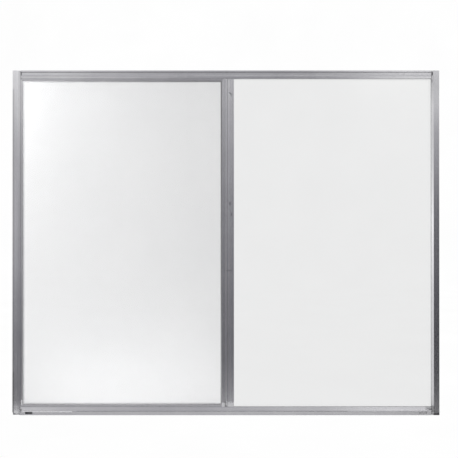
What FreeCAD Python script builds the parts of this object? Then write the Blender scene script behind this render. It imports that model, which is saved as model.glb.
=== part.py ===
import FreeCAD, Part
import os
import re
import Sketcher

# A horizontal sliding window in mill-finish aluminium, seen from outside along +Y.
# X runs along the sill, Y from the outer face (-Y) to the room (+Y), Z up.
# The origin is at the middle of the sill's flat underside.
# Profiles are drawn with u running inward from the outer edge and v back from the front face.

# Driving sizes, in millimetres
SIZES = [
    # whole window
    ("window_width", 1195.0, "over both jambs"),
    ("window_height", 965.0, "over sill and head"),
    ("wall", 1.5, "extrusion wall of frame and sash"),
    ("fit_gap", 0.2, "gap where coped members meet"),
    # front face of the frame
    ("jamb_flat", 15.4, "flat part of a jamb's face"),
    ("jamb_face", 21.0, "whole face of a jamb"),
    ("head_lip", 4.9, "lip above the head's groove"),
    ("head_flat", 18.0, "flat part of the head's face"),
    ("head_face", 22.0, "whole face of the head"),
    ("sill_flat", 10.6, "upright part of the sill's face"),
    ("sill_face", 22.6, "whole face of the sill"),
    ("face_setback", 3.0, "how far the bevelled inner edge lies back"),
    ("groove_width", 1.3, "face groove of head and sill"),
    ("groove_depth", 0.7, "face groove of head and sill"),
    ("face_line_at", 12.6, "fine line in the head's face, from its outer edge"),
    ("face_line_width", 1.5, "slanting lower side of that line"),
    ("face_line_depth", 0.35, "upright upper side of that line"),
    ("head_seam", 1.6, "open seam between a jamb's face and the head"),
    ("sill_seam", 0.9, "open seam between a jamb's face and the sill"),
    # legs behind the face
    ("glazing_leg_at", 15.0, "front of the outer glazing leg"),
    ("glazing_leg_height", 20.5, "sight line of the outer glazing leg of head and sill"),
    ("jamb_leg_height", 18.6, "sight line of the outer glazing leg of the jambs"),
    ("glazing_pocket", 11.0, "width of the glazing pockets"),
    ("track_leg_height", 16.5, "leg between glazing pocket and sash track"),
    ("sash_front_room", 5.5, "track leg to the front of the sash"),
    ("sash_rear_room", 1.0, "back of the sash to the room-side leg"),
    ("room_leg_height", 10.0, "room-side leg"),
    ("screen_ledge_top", 18.5, "ledge of the sill that the screen stands on"),
    ("rib_width", 2.0, "guide rib under and over the sash"),
    ("rib_top", 9.0, "guide rib, from the outer face of the sill or head"),
    # screw bosses and fasteners
    ("boss_radius", 3.0, "outside of a screw boss"),
    ("boss_bore", 1.7, "radius of the bore in a boss"),
    ("boss_slot", 1.8, "open side of a boss"),
    ("boss_height", 4.2, "boss centre from the outer face"),
    ("boss_front_at", 9.5, "front boss, from the front face"),
    ("boss_behind_leg", 2.5, "rear boss centre, behind the track leg"),
    ("screw_shank", 1.65, "radius of a corner screw"),
    ("screw_head", 3.1, "radius of its countersunk head"),
    ("screw_length", 19.0, "length over the head"),
    ("screw_clearance", 2.0, "radius of the hole that it passes"),
    # installation holes
    ("fixing_hole", 2.5, "radius of the installation holes"),
    ("fixing_hole_from_end", 165.0, "installation hole to the jamb's end"),
    # weep slots in the sill
    ("weep_length", 20.4, "along the sill"),
    ("weep_height", 5.9, "up the sill's face"),
    ("weep_bottom", 3.2, "lower edge above the underside"),
    ("weep_from_end", 46.0, "slot centre to the outer face of the jamb"),
    # clipped lower corner of the left jamb
    ("clip_width", 20.0, "along the bottom"),
    ("clip_height", 8.0, "up the outer edge"),
    # meeting stile
    ("stile_left_of_centre", 1.4, "left edge of the meeting stile from the middle"),
    ("stile_width", 24.0, "over its face"),
    ("stile_tube_width", 10.4, "hollow part beside the screen"),
    ("stile_front_at", 5.0, "front of the meeting stile"),
    ("stile_groove_at", 5.0, "groove in its face, from the left edge"),
    ("stile_track_leg_width", 19.0, "room-side leg of its glazing pocket"),
    ("stile_end_gap", 8.0, "stile end to the outer face of sill or head"),
    ("hook_wall", 1.2, "wall of the interlocking hooks"),
    ("hook_depth", 4.8, "stile hook, back from the track leg"),
    ("hook_reach", 8.4, "stile hook, over its lip"),
    ("stile_hole", 1.8, "radius of the small hole near the top"),
    ("stile_hole_from_edge", 14.6, "from the stile's left edge"),
    ("stile_hole_below_head", 64.5, "from the top of the window"),
    # fixed pane
    ("glass_thickness", 3.0, "both panes"),
    ("gasket_base", 4.0, "fixed gasket between glass edge and web"),
    # insect screen
    ("screen_frame_width", 13.5, "across the face of the screen frame"),
    ("screen_frame_depth", 9.5, "front to back"),
    ("screen_frame_wall", 0.9, "rolled wall of the screen frame"),
    ("screen_front_at", 4.9, "front of the screen frame"),
    ("screen_left_inset", 16.6, "screen's left edge from the jamb's outer face"),
    ("screen_top_inset", 18.0, "screen's top edge from the head's outer face"),
    ("screen_side_gap", 0.2, "screen to meeting stile"),
    ("spline_groove_width", 3.1, "groove that holds mesh and spline"),
    ("spline_groove_depth", 4.4, "groove that holds mesh and spline"),
    ("spline_lip", 0.8, "inner lip of the groove"),
    ("spline_lip_drop", 0.7, "lip below the frame's front"),
    ("mesh_thickness", 0.5, "woven mesh"),
    ("spline_gap", 0.15, "spline to the walls of its groove"),
    ("spring_thickness", 0.5, "leaf springs that push the screen to the meeting stile"),
    ("spring_width", 6.0, "front to back"),
    ("spring_length", 90.0, "along the jamb"),
    ("spring_flat", 6.0, "flats where a spring bears"),
    ("spring_from_end", 240.0, "spring centre to the jamb's end"),
    # sliding sash
    ("sash_depth", 14.0, "front to back"),
    ("sash_left_inset", 3.5, "pull stile from the jamb's outer face"),
    ("sash_edge_inset", 7.0, "sash rails from the outer face of sill or head"),
    ("sash_right_of_centre", 14.0, "right edge of the interlock stile"),
    ("rail_channel", 7.0, "outer channel of a sash rail"),
    ("rail_front_height", 19.0, "front wall of a sash rail"),
    ("rail_rear_height", 16.0, "rear wall of a sash rail"),
    ("pull_channel", 3.5, "outer channel of the pull stile"),
    ("pull_front_width", 17.0, "front wall of the pull stile"),
    ("pull_rear_width", 14.0, "rear wall of the pull stile"),
    ("interlock_width", 26.0, "front wall of the interlock stile"),
    ("interlock_pocket", 9.0, "glazing pocket of the interlock stile"),
    ("sash_hook_reach", 9.0, "lip of the sash hook"),
    ("sash_hook_depth", 4.1, "sash hook, forward of the sash"),
    ("sash_gasket_base", 2.0, "sash gasket between glass edge and web"),
    ("glide_length", 30.0, "nylon glide under the sash"),
    ("glide_from_end", 60.0, "glide centre to the outer end of the bottom rail"),
    ("glide_groove", 1.5, "how deep the rib enters the glide"),
    ("pile_width", 5.0, "pile strips between sash and track leg"),
    ("pile_from_edge", 3.0, "pile strip to the sash's outer edge"),
    # latch on the room side of the pull stile
    ("latch_height", 70.0, "slide plate"),
    ("latch_plate", 1.4, "thickness of the slide plate"),
    ("latch_tongue", 3.4, "reach of the hook past the plate"),
    ("latch_tongue_height", 14.0, "root of the hook"),
    ("latch_hook_width", 1.4, "upturned end of the hook"),
    ("latch_hook_rise", 4.0, "upturned end of the hook"),
    ("latch_rib", 0.8, "height of the thumb ribs"),
    ("latch_rib_width", 1.4, "thumb ribs"),
    ("latch_rib_pitch", 3.0, "thumb ribs"),
]

SIZE_NAMES = {name for name, value, note in SIZES}

# Places that follow from the sizes
TRACK_LEG = "(glazing_leg_at + wall + glazing_pocket)"
SASH_FRONT = f"({TRACK_LEG} + wall + sash_front_room)"
SASH_MIDDLE = f"({SASH_FRONT} + sash_depth / 2)"
ROOM_LEG = f"({SASH_FRONT} + sash_depth + sash_rear_room)"
FRAME_DEPTH = f"({ROOM_LEG} + wall)"
FLANGE_BACK = "(face_setback + wall)"
HEAD_LENGTH = "(window_width - 2 * wall)"
BOSS_REAR_AT = f"({TRACK_LEG} + wall + boss_behind_leg)"
STILE_LEFT = "(-stile_left_of_centre)"

doc = FreeCAD.newDocument("SlidingWindow")
sheet = doc.addObject("Spreadsheet::Sheet", "Sizes")
for row, (size_name, size_value, size_note) in enumerate(SIZES, start=1):
    sheet.set(f"A{row}", size_name)
    sheet.set(f"B{row}", str(size_value))
    sheet.set(f"C{row}", size_note)
    sheet.setAlias(f"B{row}", size_name)
doc.recompute()


def bound(text):
    """Expression text with every size name tied to its cell."""
    return re.sub(r"[a-z][a-z_]+", lambda m: "Sizes." + m[0] if m[0] in SIZE_NAMES else m[0], text)


def make_body(label):
    body = doc.addObject("PartDesign::Body", label)
    body.Label = label
    return body


def new_sketch(body, name, plane, offset=None):
    """Sketch on one of the body's own origin planes, or at an offset along that plane's normal."""
    sketch = body.newObject("Sketcher::SketchObject", f"{body.Label}_{name}")
    support = [item for item in body.Origin.OriginFeatures if item.Role == plane]
    sketch.AttachmentSupport = [(support[0], "")]
    sketch.MapMode = "FlatFace"
    if offset:
        sketch.setExpression("AttachmentOffset.Base.z", bound(offset))
    return sketch


def pin_point(sketch, geometry, position, x_text, y_text):
    """Ties one point of the sketch to its two coordinates."""
    for kind, text in (("DistanceX", x_text), ("DistanceY", y_text)):
        if text == "0":
            axis = -2 if kind == "DistanceX" else -1
            sketch.addConstraint(Sketcher.Constraint("PointOnObject", geometry, position, axis))
            continue
        value = float(sketch.evalExpression(bound(text)))
        index = sketch.addConstraint(Sketcher.Constraint(kind, -1, 1, geometry, position, value))
        sketch.setExpression(f"Constraints[{index}]", bound(text))


def draw_loop(sketch, points):
    """Closed outline through the points, each pinned to its own sizes."""
    places = [
        FreeCAD.Vector(*[float(sketch.evalExpression(bound(text))) for text in point], 0)
        for point in points
    ]
    first = sketch.GeometryCount
    count = len(points)
    lines = [Part.LineSegment(places[i], places[(i + 1) % count]) for i in range(count)]
    sketch.addGeometry(lines, False)
    for i in range(count):
        following = first + (i + 1) % count
        sketch.addConstraint(Sketcher.Constraint("Coincident", first + i, 2, following, 1))
    for i, (x_text, y_text) in enumerate(points):
        pin_point(sketch, first + i, 1, x_text, y_text)


def draw_box(sketch, x0, y0, x1, y1):
    draw_loop(sketch, [(x0, y0), (x1, y0), (x1, y1), (x0, y1)])


def draw_circle(sketch, x_text, y_text, radius):
    place = [float(sketch.evalExpression(bound(text))) for text in (x_text, y_text)]
    size = float(sketch.evalExpression(bound(radius)))
    circle = Part.Circle(FreeCAD.Vector(*place, 0), FreeCAD.Vector(0, 0, 1), size)
    geometry = sketch.addGeometry(circle, False)
    pin_point(sketch, geometry, 3, x_text, y_text)
    index = sketch.addConstraint(Sketcher.Constraint("Radius", geometry, size))
    sketch.setExpression(f"Constraints[{index}]", bound(radius))


def pad(body, sketch, length, reverse=False):
    feature = body.newObject("PartDesign::Pad", f"{sketch.Name}_pad")
    feature.Profile = sketch
    feature.Reversed = reverse
    feature.setExpression("Length", bound(length))
    doc.recompute()
    return feature


def pocket(body, sketch, length=None, reverse=False):
    """Cut of a stated depth, or through everything, checked to take material away."""
    before = body.Shape.Volume
    feature = body.newObject("PartDesign::Pocket", f"{sketch.Name}_pocket")
    feature.Profile = sketch
    feature.Reversed = reverse
    if length:
        feature.setExpression("Length", bound(length))
    else:
        feature.Type = "ThroughAll"
    doc.recompute()
    if not body.Shape.Volume < before:
        raise ValueError(f"{feature.Name} cuts nothing")
    return feature


def place(body, x, y, z, turn=0):
    """Base point from the sizes, after a turn about Y."""
    rotation = FreeCAD.Rotation(FreeCAD.Vector(0, 1, 0), turn)
    body.Placement = FreeCAD.Placement(FreeCAD.Vector(0, 0, 0), rotation)
    for axis, text in zip("xyz", (x, y, z)):
        body.setExpression(f"Placement.Base.{axis}", bound(text))


def place_member(body, side, length):
    """Lays a profile along one side of the window: u points inward, v back."""
    depth = f"-{FRAME_DEPTH} / 2"
    if side == "left":
        place(body, "-window_width / 2", depth, f"(window_height - {length}) / 2")
    elif side == "right":
        place(body, "window_width / 2", depth, f"(window_height + {length}) / 2", 180)
    elif side == "top":
        place(body, f"-{length} / 2", depth, "window_height", 90)
    else:
        place(body, f"{length} / 2", depth, "0", -90)


# Frame members
def frame_outline(flat, face, groove=None, ledge=None, rib=False, leg="glazing_leg_height"):
    """Frame section: face with bevelled inner edge, two glazing legs, optional rib, room-side leg."""
    points = [("0", "0")]
    if groove:
        points += [
            (groove, "0"),
            (groove, "groove_depth"),
            (f"{groove} + groove_width", "groove_depth"),
        ]
    points += [(flat, "0"), (face, "face_setback"), (face, FLANGE_BACK)]
    if ledge:
        points += [(ledge, back_of_bevel(flat, face, ledge)), (ledge, "glazing_leg_at")]
    else:
        points += [(flat, "wall"), ("wall", "wall"), ("wall", "glazing_leg_at")]
    points += [
        (leg, "glazing_leg_at"),
        (leg, "glazing_leg_at + wall"),
        ("wall", "glazing_leg_at + wall"),
        ("wall", TRACK_LEG),
        ("track_leg_height", TRACK_LEG),
        ("track_leg_height", f"{TRACK_LEG} + wall"),
        ("wall", f"{TRACK_LEG} + wall"),
    ]
    if rib:
        points += [
            ("wall", f"{SASH_MIDDLE} - rib_width / 2"),
            ("rib_top", f"{SASH_MIDDLE} - rib_width / 2"),
            ("rib_top", f"{SASH_MIDDLE} + rib_width / 2"),
            ("wall", f"{SASH_MIDDLE} + rib_width / 2"),
        ]
    points += [
        ("wall", ROOM_LEG),
        ("room_leg_height", ROOM_LEG),
        ("room_leg_height", FRAME_DEPTH),
        ("0", FRAME_DEPTH),
    ]
    return points


def back_of_bevel(flat, face, height):
    """Depth of the bevel's rear surface at a height up the face."""
    return f"(wall + face_setback * ({height} - ({flat})) / ({face} - ({flat})))"


def add_bosses(body, length):
    """Two C-shaped screw bosses along the whole member, open inward."""
    rows = ["boss_front_at", BOSS_REAR_AT]
    outside = new_sketch(body, "boss", "XY_Plane")
    bore = new_sketch(body, "boss_bore", "XY_Plane")
    slot = new_sketch(body, "boss_slot", "XY_Plane")
    for row in rows:
        draw_circle(outside, "boss_height", row, "boss_radius")
        draw_circle(bore, "boss_height", row, "boss_bore")
        low = f"{row} - boss_slot / 2"
        high = f"{row} + boss_slot / 2"
        draw_box(slot, "boss_height", low, "boss_height + boss_radius + fit_gap", high)
    pad(body, outside, length)
    pocket(body, bore, reverse=True)
    pocket(body, slot, reverse=True)


def cope_face(body, face, length, seam):
    """Cuts the face back at both ends so that it butts against the jambs' faces."""
    sketch = new_sketch(body, "cope", "XZ_Plane")
    reach = f"jamb_face - wall + {seam}"
    draw_box(sketch, "0", "0", f"{face} + wall", reach)
    draw_box(sketch, "0", f"{length} - ({reach})", f"{face} + wall", length)
    pocket(body, sketch, f"{FLANGE_BACK} + fit_gap")


def make_jamb(label, side):
    body = make_body(label)
    section = new_sketch(body, "section", "XY_Plane")
    draw_loop(section, frame_outline("jamb_flat", "jamb_face", leg="jamb_leg_height"))
    pad(body, section, "window_height")
    # the legs stop where the head and sill pass
    notch = new_sketch(body, "notch", "XZ_Plane", f"-({FLANGE_BACK} + fit_gap)")
    reach = "glazing_leg_height + fit_gap"
    draw_box(notch, "wall", "0", "jamb_face + wall", reach)
    draw_box(notch, "wall", f"window_height - ({reach})", "jamb_face + wall", "window_height")
    pocket(body, notch)
    # countersunk holes for the corner screws
    corners = new_sketch(body, "corner_holes", "YZ_Plane")
    for depth in ("boss_front_at", BOSS_REAR_AT):
        for height in ("boss_height", "window_height - boss_height"):
            draw_circle(corners, depth, height, "screw_clearance")
    drill(body, corners, "screw_clearance", "screw_head")
    place_member(body, side, "window_height")
    return body


def drill(body, sketch, radius, sunk_radius=None):
    """Holes through the outer web, countersunk from outside when a head radius is given."""
    doc.recompute()
    before = body.Shape.Volume
    feature = body.newObject("PartDesign::Hole", f"{sketch.Name}_drilled")
    feature.Profile = sketch
    feature.Reversed = True
    feature.DepthType = "Dimension"
    feature.setExpression("Depth", bound("2 * wall"))
    feature.DrillPoint = "Flat"
    feature.setExpression("Diameter", bound(f"2 * {radius}"))
    if sunk_radius:
        feature.HoleCutType = "Countersink"
        feature.setExpression("HoleCutDiameter", bound(f"2 * {sunk_radius}"))
        feature.HoleCutCountersinkAngle = 90
    doc.recompute()
    if not body.Shape.Volume < before:
        raise ValueError(f"{feature.Name} cuts nothing")
    return feature


left_jamb = make_jamb("left_jamb", "left")
left_fixing = new_sketch(left_jamb, "fixing_holes", "YZ_Plane")
for height in ("fixing_hole_from_end", "window_height - fixing_hole_from_end"):
    draw_circle(left_fixing, "glazing_leg_at + wall + glazing_pocket / 2", height, "fixing_hole")
drill(left_jamb, left_fixing, "fixing_hole")
clip = new_sketch(left_jamb, "clipped_corner", "XZ_Plane")
draw_loop(clip, [("0", "0"), ("clip_width", "0"), ("0", "clip_height")])
pocket(left_jamb, clip, FLANGE_BACK)
# keeper for the latch: a notch in the room-side leg that the hook turns up behind
LATCH_LEFT = "(room_leg_height + 3 * fit_gap)"
HOOK_LEFT = f"({LATCH_LEFT} - latch_tongue)"
HOOK_RIGHT = f"({HOOK_LEFT} + latch_hook_width)"
keeper = new_sketch(left_jamb, "keeper_notch", "XZ_Plane", f"-({ROOM_LEG} - fit_gap)")
keeper_low = "window_height / 2 - latch_tongue_height / 2 - 2 * fit_gap"
keeper_high = "window_height / 2 + latch_tongue_height / 2 + 2 * fit_gap"
draw_loop(
    keeper,
    [
        ("room_leg_height + fit_gap", keeper_low),
        ("room_leg_height + fit_gap", keeper_high),
        (f"{HOOK_RIGHT} + 2 * fit_gap", keeper_high),
        (f"{HOOK_RIGHT} + 2 * fit_gap", f"{keeper_high} + latch_hook_rise"),
        (f"{HOOK_LEFT} - 2 * fit_gap", f"{keeper_high} + latch_hook_rise"),
        (f"{HOOK_LEFT} - 2 * fit_gap", keeper_low),
    ],
)
pocket(left_jamb, keeper)

right_jamb = make_jamb("right_jamb", "right")
right_fixing = new_sketch(right_jamb, "fixing_holes", "YZ_Plane")
for height in ("fixing_hole_from_end", "window_height - fixing_hole_from_end"):
    draw_circle(right_fixing, SASH_MIDDLE, height, "fixing_hole")
drill(right_jamb, right_fixing, "fixing_hole")

head = make_body("head")
head_section = new_sketch(head, "section", "XY_Plane")
head_outline = frame_outline("head_flat", "head_face", groove="head_lip", rib=True)
head_outline[4:4] = [
    ("head_lip + groove_width", "0"),
    ("face_line_at", "0"),
    ("face_line_at", "face_line_depth"),
    ("face_line_at + face_line_width", "0"),
]
draw_loop(head_section, head_outline)
pad(head, head_section, HEAD_LENGTH)
add_bosses(head, HEAD_LENGTH)
cope_face(head, "head_face", HEAD_LENGTH, "head_seam")
place_member(head, "top", HEAD_LENGTH)

sill = make_body("sill")
sill_section = new_sketch(sill, "section", "XY_Plane")
slope_start = "sill_flat + groove_width"
draw_loop(
    sill_section,
    frame_outline(slope_start, "sill_face", groove="sill_flat", ledge="screen_ledge_top", rib=True),
)
# closed chamber under the screen ledge, which the weep slots drain
draw_loop(
    sill_section,
    [
        ("wall", "wall + groove_depth"),
        (slope_start, "wall + groove_depth"),
        (
            "screen_ledge_top - wall",
            back_of_bevel(slope_start, "sill_face", "screen_ledge_top - wall") + " + groove_depth",
        ),
        ("screen_ledge_top - wall", "glazing_leg_at"),
        ("wall", "glazing_leg_at"),
    ],
)
pad(sill, sill_section, HEAD_LENGTH)
add_bosses(sill, HEAD_LENGTH)
cope_face(sill, "sill_face", HEAD_LENGTH, "sill_seam")
weeps = new_sketch(sill, "weep_slots", "XZ_Plane")
for centre in ("weep_from_end - wall", f"{HEAD_LENGTH} + wall - weep_from_end"):
    low = f"{centre} - weep_length / 2"
    high = f"{centre} + weep_length / 2"
    draw_box(weeps, "weep_bottom", low, "weep_bottom + weep_height", high)
pocket(sill, weeps, "2 * wall + groove_depth")
place_member(sill, "bottom", HEAD_LENGTH)

# Meeting stile: two hollows behind its face, glazing pocket at the right, hook for the sash behind
STILE_LENGTH = "(window_height - 2 * stile_end_gap)"
meeting_stile = make_body("meeting_stile")
stile_section = new_sketch(meeting_stile, "section", "XY_Plane")
draw_loop(
    stile_section,
    [
        ("0", "stile_front_at"),
        ("stile_groove_at", "stile_front_at"),
        ("stile_groove_at", "stile_front_at + groove_depth"),
        ("stile_groove_at + groove_width", "stile_front_at + groove_depth"),
        ("stile_groove_at + groove_width", "stile_front_at"),
        ("stile_width", "stile_front_at"),
        ("stile_width", "glazing_leg_at + wall"),
        ("stile_tube_width", "glazing_leg_at + wall"),
        ("stile_tube_width", TRACK_LEG),
        ("stile_track_leg_width", TRACK_LEG),
        ("stile_track_leg_width", f"{TRACK_LEG} + wall"),
        ("hook_wall", f"{TRACK_LEG} + wall"),
        ("hook_wall", f"{TRACK_LEG} + wall + hook_depth - hook_wall"),
        ("hook_reach", f"{TRACK_LEG} + wall + hook_depth - hook_wall"),
        ("hook_reach", f"{TRACK_LEG} + wall + hook_depth"),
        ("0", f"{TRACK_LEG} + wall + hook_depth"),
    ],
)
draw_box(
    stile_section,
    "wall",
    "stile_front_at + wall + groove_depth",
    "stile_tube_width - wall",
    TRACK_LEG,
)
draw_box(
    stile_section,
    "stile_tube_width",
    "stile_front_at + wall",
    "stile_width - wall",
    "glazing_leg_at",
)
pad(meeting_stile, stile_section, STILE_LENGTH)
# slots at both ends let the legs of head and sill pass
stile_slots = new_sketch(meeting_stile, "leg_slots", "YZ_Plane")
for leg, height in (("glazing_leg_at", "glazing_leg_height"), (TRACK_LEG, "track_leg_height")):
    front = f"{leg} - fit_gap"
    back = f"{leg} + wall + fit_gap"
    reach = f"{height} - stile_end_gap + fit_gap"
    draw_box(stile_slots, front, "0", back, reach)
    draw_box(stile_slots, front, f"{STILE_LENGTH} - ({reach})", back, STILE_LENGTH)
pocket(meeting_stile, stile_slots, reverse=True)
# the screen ledge of the sill and the leaning faces of head and sill need room as well
foot = new_sketch(meeting_stile, "foot", "YZ_Plane")
foot_reach = "screen_ledge_top - stile_end_gap + fit_gap"
draw_box(foot, "stile_front_at", "0", "glazing_leg_at", foot_reach)
pocket(meeting_stile, foot, reverse=True)
stile_hole = new_sketch(meeting_stile, "small_hole", "XZ_Plane")
draw_circle(
    stile_hole,
    "stile_hole_from_edge",
    "window_height - stile_hole_below_head - stile_end_gap",
    "stile_hole",
)
pocket(meeting_stile, stile_hole, "stile_front_at + 2 * wall")
place(meeting_stile, STILE_LEFT, f"-{FRAME_DEPTH} / 2", "stile_end_gap")


# Corner screws through the jambs into the bosses of head and sill
def make_corner_screws(label, side):
    body = make_body(label)
    profile = new_sketch(body, "profile", "XY_Plane")
    sink = "(screw_head - screw_shank)"
    draw_loop(
        profile,
        [
            ("0", "0"),
            ("0", "screw_head - fit_gap"),
            (sink, "screw_shank - fit_gap / 2"),
            ("screw_length - screw_shank", "screw_shank - fit_gap / 2"),
            ("screw_length", "0"),
        ],
    )
    screw = body.newObject("PartDesign::Revolution", f"{label}_turned")
    screw.Profile = profile
    screw.ReferenceAxis = (profile, ["H_Axis"])
    screw.Angle = 360
    doc.recompute()
    rows = body.newObject("PartDesign::LinearPattern", f"{label}_rows")
    rows.Originals = [screw]
    rows.Direction = (profile, ["V_Axis"])
    rows.setExpression("Length", bound(f"{BOSS_REAR_AT} - boss_front_at"))
    rows.Occurrences = 2
    rows.Direction2 = (profile, ["N_Axis"])
    rows.setExpression("Length2", bound("window_height - 2 * boss_height"))
    rows.Occurrences2 = 2
    body.Tip = rows
    doc.recompute()
    depth = f"boss_front_at - {FRAME_DEPTH} / 2"
    if side == "left":
        place(body, "-window_width / 2", depth, "boss_height")
    else:
        place(body, "window_width / 2", depth, "window_height - boss_height", 180)
    return body


make_corner_screws("left_corner_screws", "left")
make_corner_screws("right_corner_screws", "right")


# Panes and the gaskets round them
def make_pane(label, left, bottom, right, top, front):
    pane = doc.addObject("Part::Box", label)
    pane.Label = label
    pane.setExpression("Length", bound(f"{right} - ({left})"))
    pane.setExpression("Width", "Sizes.glass_thickness")
    pane.setExpression("Height", bound(f"{top} - ({bottom})"))
    for axis, text in zip("xyz", (left, f"{front} - {FRAME_DEPTH} / 2", bottom)):
        pane.setExpression(f"Placement.Base.{axis}", bound(text))
    return pane


def make_gasket(label, outer, front_inner, rear_inner, base, front):
    """U-shaped vinyl round a pane: front lip, base against the webs, rear lip."""
    body = make_body(label)
    lip = "((glazing_pocket - glass_thickness) / 2)"
    left, bottom, right, top = outer
    glass_edge = (
        f"{left} + {base}",
        f"{bottom} + {base}",
        f"{right} - {base}",
        f"{top} - {base}",
    )
    rings = [
        ("front_lip", front_inner, "0", lip),
        ("base", glass_edge, lip, "glass_thickness"),
        ("rear_lip", rear_inner, f"{lip} + glass_thickness", lip),
    ]
    for name, inner, start, depth in rings:
        sketch = new_sketch(body, name, "XZ_Plane", f"-({start})" if start != "0" else None)
        draw_box(sketch, left, bottom, right, top)
        draw_box(sketch, *inner)
        pad(body, sketch, depth, reverse=True)
    place(body, "0", f"{front} - {FRAME_DEPTH} / 2", "0")
    return body


def inset(outer, left, bottom, right, top):
    return (
        f"{outer[0]} + {left}",
        f"{outer[1]} + {bottom}",
        f"{outer[2]} - ({right})",
        f"{outer[3]} - ({top})",
    )


POCKET_FRONT = "(glazing_leg_at + wall)"
fixed_web = (
    f"({STILE_LEFT} + stile_tube_width)",
    "wall",
    "(window_width / 2 - wall)",
    "(window_height - wall)",
)
front_bite = "(glazing_leg_height - wall)"
jamb_bite = "(jamb_leg_height - wall)"
rear_bite = "(track_leg_height - wall)"
make_gasket(
    "fixed_gasket",
    fixed_web,
    inset(fixed_web, "stile_width - stile_tube_width", front_bite, jamb_bite, front_bite),
    inset(fixed_web, "stile_track_leg_width - stile_tube_width", rear_bite, rear_bite, rear_bite),
    "gasket_base",
    POCKET_FRONT,
)
make_pane(
    "fixed_glass",
    *inset(fixed_web, "gasket_base", "gasket_base", "gasket_base", "gasket_base"),
    f"{POCKET_FRONT} + (glazing_pocket - glass_thickness) / 2",
)

# Insect screen: mitred rolled frame with the spline groove on its front face
SCREEN_LEFT = "(screen_left_inset - window_width / 2)"
SCREEN_RIGHT = f"({STILE_LEFT} - screen_side_gap)"
SCREEN_BOTTOM = "screen_ledge_top"
SCREEN_TOP = "(window_height - screen_top_inset)"
SCREEN_WIDTH = f"({SCREEN_RIGHT} - {SCREEN_LEFT})"
SCREEN_HEIGHT = f"({SCREEN_TOP} - {SCREEN_BOTTOM})"


def screen_outline():
    """Rolled tube section: x from the outer edge inward, y back from the front."""
    inner = "(screen_frame_width - spline_lip)"
    outer = "(screen_frame_width - spline_lip - spline_groove_width)"
    outside = [
        ("0", "0"),
        (outer, "0"),
        (outer, "spline_groove_depth"),
        (inner, "spline_groove_depth"),
        (inner, "spline_lip_drop"),
        ("screen_frame_width", "spline_lip_drop"),
        ("screen_frame_width", "screen_frame_depth"),
        ("0", "screen_frame_depth"),
    ]
    tube = "screen_frame_wall"
    inside = [
        (tube, tube),
        (f"{outer} - {tube}", tube),
        (f"{outer} - {tube}", f"spline_groove_depth + {tube}"),
        (f"screen_frame_width - {tube}", f"spline_groove_depth + {tube}"),
        (f"screen_frame_width - {tube}", f"screen_frame_depth - {tube}"),
        (tube, f"screen_frame_depth - {tube}"),
    ]
    return outside, inside


def make_screen_member(label, length):
    body = make_body(label)
    section = new_sketch(body, "section", "XY_Plane")
    for loop in screen_outline():
        draw_loop(section, loop)
    pad(body, section, length)
    mitre = new_sketch(body, "mitres", "XZ_Plane")
    width = "screen_frame_width"
    draw_loop(mitre, [("0", "0"), (width, "0"), (width, width)])
    draw_loop(mitre, [("0", length), (width, length), (width, f"{length} - {width}")])
    pocket(body, mitre)
    return body


SCREEN_DEPTH = f"screen_front_at - {FRAME_DEPTH} / 2"
left_stile = make_screen_member("screen_left_stile", SCREEN_HEIGHT)
place(left_stile, SCREEN_LEFT, SCREEN_DEPTH, SCREEN_BOTTOM)
right_stile = make_screen_member("screen_right_stile", SCREEN_HEIGHT)
place(right_stile, SCREEN_RIGHT, SCREEN_DEPTH, SCREEN_TOP, 180)
top_rail = make_screen_member("screen_top_rail", SCREEN_WIDTH)
place(top_rail, SCREEN_LEFT, SCREEN_DEPTH, SCREEN_TOP, 90)
bottom_rail = make_screen_member("screen_bottom_rail", SCREEN_WIDTH)
place(bottom_rail, SCREEN_RIGHT, SCREEN_DEPTH, SCREEN_BOTTOM, -90)

screen_outer = (SCREEN_LEFT, SCREEN_BOTTOM, SCREEN_RIGHT, SCREEN_TOP)
groove_out = "(screen_frame_width - spline_lip - spline_groove_width + spline_gap)"
groove_in = "(screen_frame_width - spline_lip - spline_gap)"
spline = make_body("screen_spline")
spline_ring = new_sketch(spline, "ring", "XZ_Plane")
draw_box(spline_ring, *inset(screen_outer, groove_out, groove_out, groove_out, groove_out))
draw_box(spline_ring, *inset(screen_outer, groove_in, groove_in, groove_in, groove_in))
pad(spline, spline_ring, "spline_groove_depth - spline_lip_drop", reverse=True)
place(spline, "0", f"{SCREEN_DEPTH} + spline_lip_drop", "0")

mesh = make_body("insect_mesh")
mesh_sheet = new_sketch(mesh, "sheet", "XZ_Plane")
draw_box(mesh_sheet, *inset(screen_outer, groove_out, groove_out, groove_out, groove_out))
pad(mesh, mesh_sheet, "mesh_thickness", reverse=True)
place(mesh, "0", f"{SCREEN_DEPTH} + spline_lip_drop - mesh_thickness", "0")

# Leaf springs bowed between the left jamb's web and the screen
springs = make_body("screen_springs")
spring_profile = new_sketch(springs, "bow", "XZ_Plane")
spring_room = "(screen_left_inset - wall)"
bow_outside = [
    (spring_room, "-spring_length / 2"),
    (spring_room, "spring_flat - spring_length / 2"),
    ("spring_thickness", "-spring_flat / 2"),
    ("spring_thickness", "spring_flat / 2"),
    (spring_room, "spring_length / 2 - spring_flat"),
    (spring_room, "spring_length / 2"),
]
bow_inside = [(f"{x} - spring_thickness", z) for x, z in reversed(bow_outside)]
draw_loop(spring_profile, bow_outside + bow_inside)
spring_pad = pad(springs, spring_profile, "spring_width", reverse=True)
spring_pair = springs.newObject("PartDesign::LinearPattern", "screen_springs_pair")
spring_pair.Originals = [spring_pad]
spring_pair.Direction = (spring_profile, ["V_Axis"])
spring_pair.setExpression("Length", bound("window_height - 2 * spring_from_end"))
spring_pair.Occurrences = 2
springs.Tip = spring_pair
place(
    springs,
    "wall - window_width / 2",
    f"{SCREEN_DEPTH} + (screen_frame_depth - spring_width) / 2",
    "spring_from_end",
)


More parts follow.
